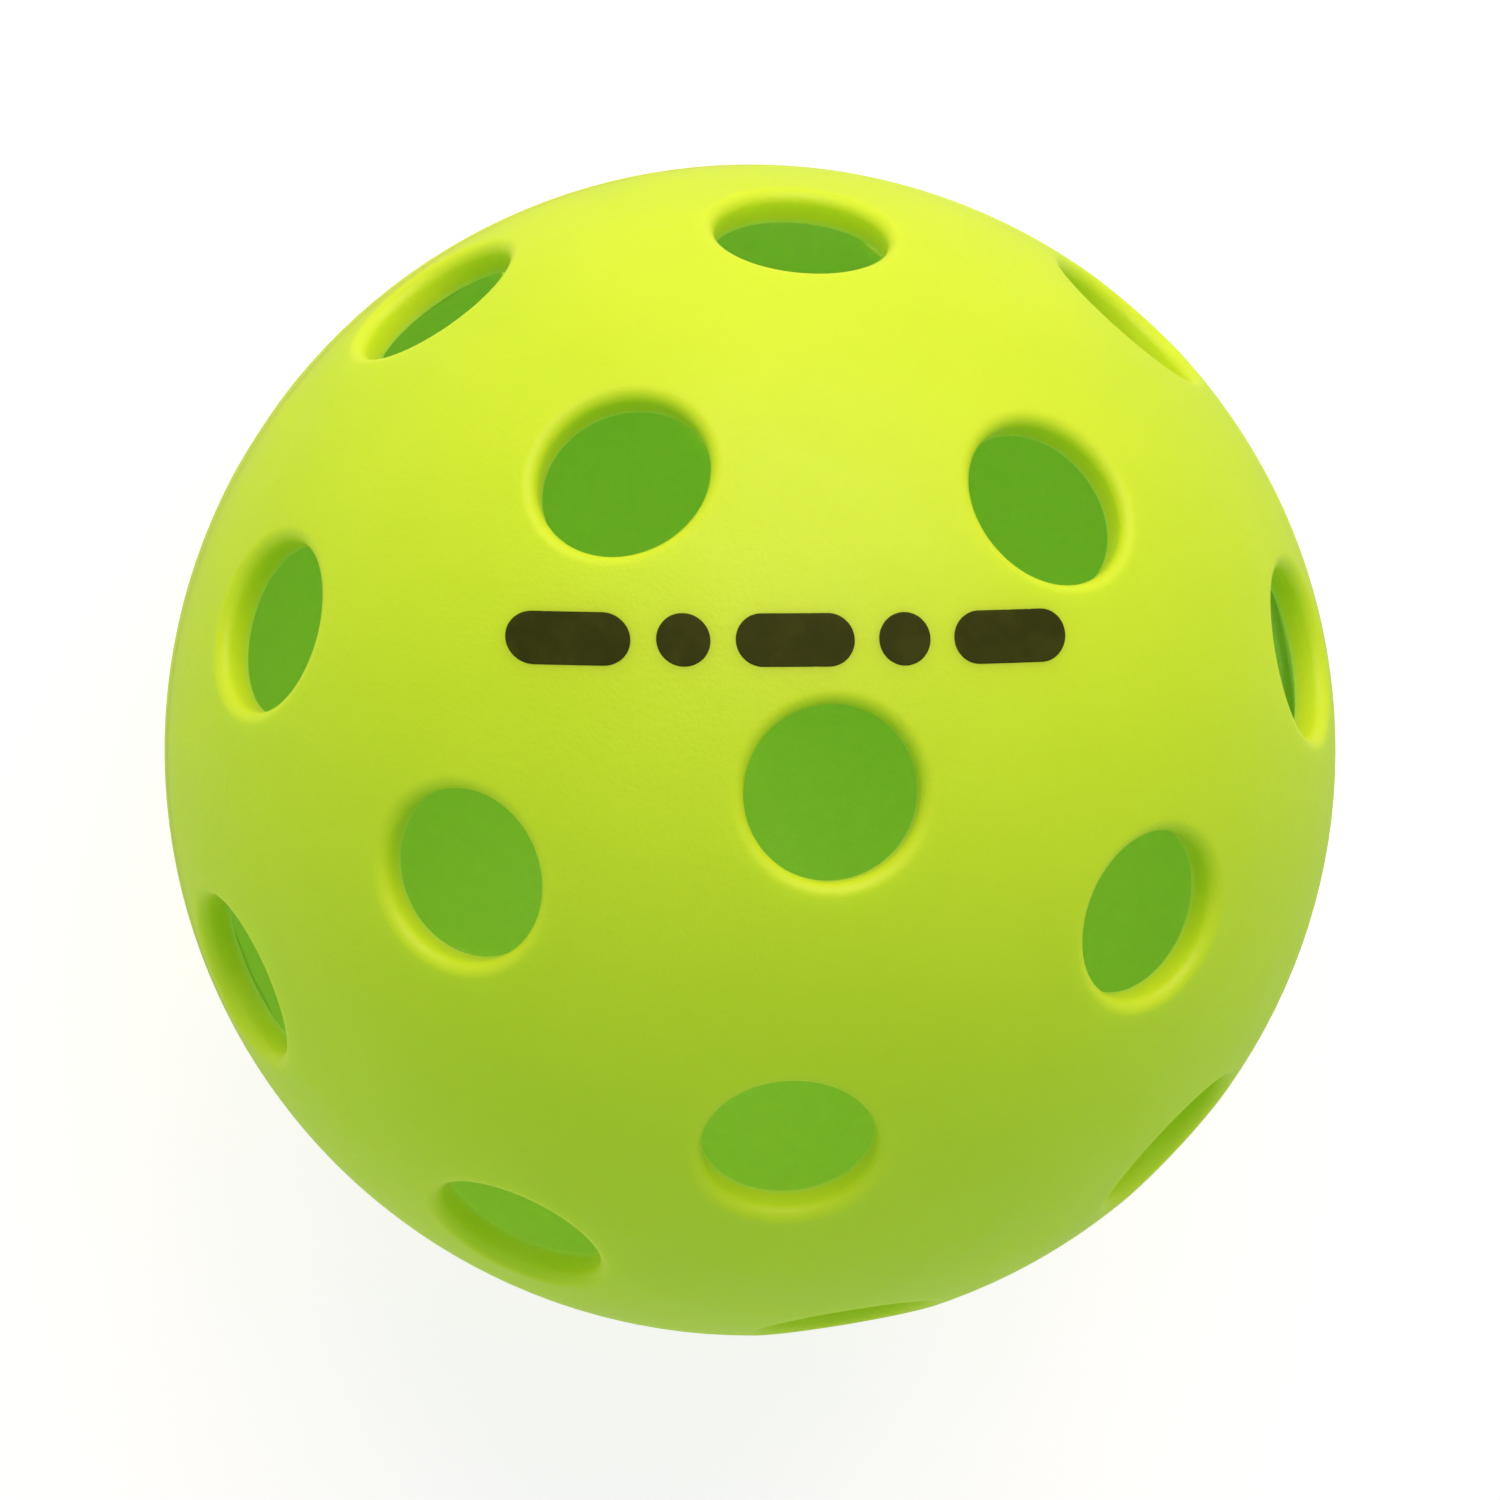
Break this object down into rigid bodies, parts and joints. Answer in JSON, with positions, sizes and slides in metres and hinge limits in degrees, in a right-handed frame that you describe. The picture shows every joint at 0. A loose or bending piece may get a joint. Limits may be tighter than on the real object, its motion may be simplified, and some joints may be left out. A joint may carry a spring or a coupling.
{
  "type": "perforated court ball",
  "caption": "Hollow perforated plastic ball of two welded half shells, with round soft-edged holes all over, for paddle court play.",
  "frame": {"origin": "centre of the ball", "axes": "+Z along the moulding axis, out through the upper pole's hole; the weld seam is the plane Z = 0; +Y from the upper pole's hole towards the printed band, which reads along +X"},
  "size_m": [0.074, 0.074, 0.073],
  "materials": {
    "shell_plastic": "satin, fine-grained polyethylene",
    "weld_plastic": "smooth re-solidified polyethylene",
    "ink": "flat printed ink"
  },
  "bodies": {
    "root": {"upper_half_shell": "shell_plastic", "lower_half_shell": "shell_plastic", "weld_bead": "weld_plastic", "printed_mark": "ink"}
  },
  "joints": []
}
